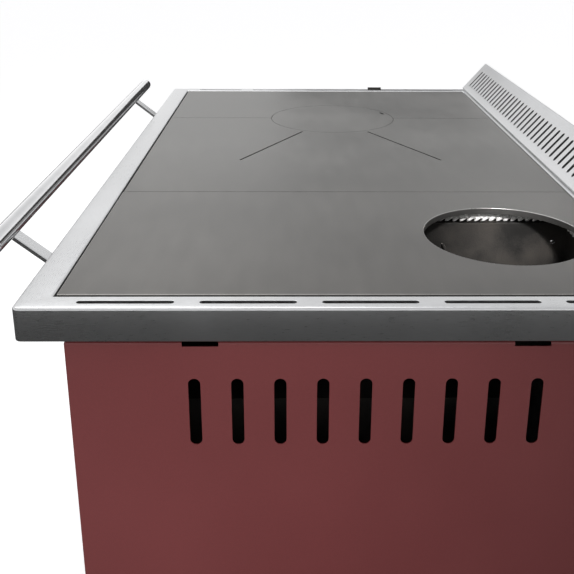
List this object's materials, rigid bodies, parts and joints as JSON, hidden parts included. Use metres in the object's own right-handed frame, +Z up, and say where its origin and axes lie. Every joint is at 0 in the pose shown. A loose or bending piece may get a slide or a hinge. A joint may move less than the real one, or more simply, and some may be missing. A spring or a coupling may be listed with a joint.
{
  "type": "solid-fuel range cooker",
  "caption": "Freestanding wood and coal range cooker: slotted stainless top frame and rear riser, cast hotplates with a round lid and a flue hole, firebox, oven, drawers and a front towel rail.",
  "frame": {"origin": "on the floor, under the middle of the bounding box", "axes": "+Z up, the front with its doors and rail faces -Y, +X to the right seen from the front"},
  "size_m": [1.1, 0.7464, 0.9165],
  "materials": {
    "stainless": "brushed",
    "polished_steel": "polished",
    "hotplate_iron": "ground and oiled",
    "dark_steel": "heat-resistant black",
    "red_enamel": "fine texture, satin",
    "black_enamel": "satin",
    "zinc_sheet": "galvanised",
    "firebrick": "matt",
    "rope": "braided glass fibre",
    "door_glass": "clear",
    "knob_plastic": "satin",
    "foot_rubber": "matt"
  },
  "bodies": {
    "cabinet": {"top_frame": "stainless", "plate_carrier": "dark_steel", "hotplate_left": "hotplate_iron", "hotplate_middle": "hotplate_iron", "hotplate_right": "hotplate_iron", "rear_riser": "stainless", "riser_back": "dark_steel", "edge_clip": "dark_steel", "rail_tube": "polished_steel", "rail_cap_left": "polished_steel", "rail_cap_right": "polished_steel", "rail_post_left": "stainless", "rail_post_right": "stainless", "side_panel_right": "red_enamel", "side_panel_left": "red_enamel", "back_panel": "zinc_sheet", "front_fascia": "black_enamel", "base_pan": "zinc_sheet", "mid_shelf": "zinc_sheet", "plinth": "black_enamel", "foot_front_left": "foot_rubber", "foot_rear_left": "foot_rubber", "foot_front_right": "foot_rubber", "foot_rear_right": "foot_rubber", "firebox_casing": "dark_steel", "firebrick_left": "firebrick", "firebrick_right": "firebrick", "firebrick_back": "firebrick", "fire_door_hinge_lower": "dark_steel", "fire_door_hinge_upper": "dark_steel", "oven_box": "dark_steel", "oven_rack": "polished_steel", "oven_door_hinge_left": "dark_steel", "oven_door_hinge_right": "dark_steel", "flue_box": "dark_steel", "flue_rope_seal": "rope"},
    "lid": {"round_lid": "hotplate_iron"},
    "fire_door": {"fire_door": "red_enamel", "fire_door_glass": "door_glass", "fire_door_retainer": "dark_steel", "fire_door_seal": "rope", "fire_door_handle": "polished_steel"},
    "ash_drawer": {"ash_drawer_front": "red_enamel", "ash_pan": "zinc_sheet", "ash_drawer_handle": "polished_steel"},
    "air_valve": {"air_valve": "dark_steel"},
    "riddle": {"grate": "dark_steel", "riddle_rod": "stainless"},
    "oven_door": {"oven_door": "red_enamel", "oven_door_glass": "door_glass", "oven_door_seal": "rope", "oven_door_handle": "polished_steel", "thermometer_case": "stainless"},
    "gauge_needle": {"thermometer_needle": "knob_plastic"},
    "damper": {"damper": "dark_steel", "damper_knob": "knob_plastic"},
    "wood_drawer": {"wood_drawer": "red_enamel", "wood_drawer_handle": "polished_steel"},
    "tool_drawer": {"tool_drawer": "red_enamel", "tool_drawer_handle": "polished_steel"}
  },
  "joints": [
    {"name": "lid_lift", "type": "slide", "parent": "cabinet", "child": "lid", "axis": [0, 0, 1], "range_m": [0, 0.15]},
    {"name": "fire_door_hinge", "type": "hinge", "parent": "cabinet", "child": "fire_door", "pos_m": [-0.505, -0.28175, 0.61], "axis": [0, 0, -1], "range_deg": [0, 110]},
    {"name": "ash_drawer_slide", "type": "slide", "parent": "cabinet", "child": "ash_drawer", "axis": [0, -1, 0], "range_m": [0, 0.3]},
    {"name": "air_valve_turn", "type": "hinge", "parent": "ash_drawer", "child": "air_valve", "pos_m": [-0.13, -0.281, 0.369], "axis": [0, 1, 0], "range_deg": [0, 30]},
    {"name": "riddle_slide", "type": "slide", "parent": "cabinet", "child": "riddle", "axis": [0, -1, 0], "range_m": [0, 0.02]},
    {"name": "oven_door_hinge", "type": "hinge", "parent": "cabinet", "child": "oven_door", "pos_m": [0.246, -0.28175, 0.323], "axis": [1, 0, 0], "range_deg": [0, 90]},
    {"name": "needle_turn", "type": "hinge", "parent": "oven_door", "child": "gauge_needle", "pos_m": [0.246, -0.28, 0.715], "axis": [0, 1, 0], "range_deg": [0, 240]},
    {"name": "damper_slide", "type": "slide", "parent": "cabinet", "child": "damper", "axis": [0, -1, 0], "range_m": [0, 0.045]},
    {"name": "wood_drawer_slide", "type": "slide", "parent": "cabinet", "child": "wood_drawer", "axis": [0, -1, 0], "range_m": [0, 0.4]},
    {"name": "tool_drawer_slide", "type": "slide", "parent": "cabinet", "child": "tool_drawer", "axis": [0, -1, 0], "range_m": [0, 0.4]}
  ]
}
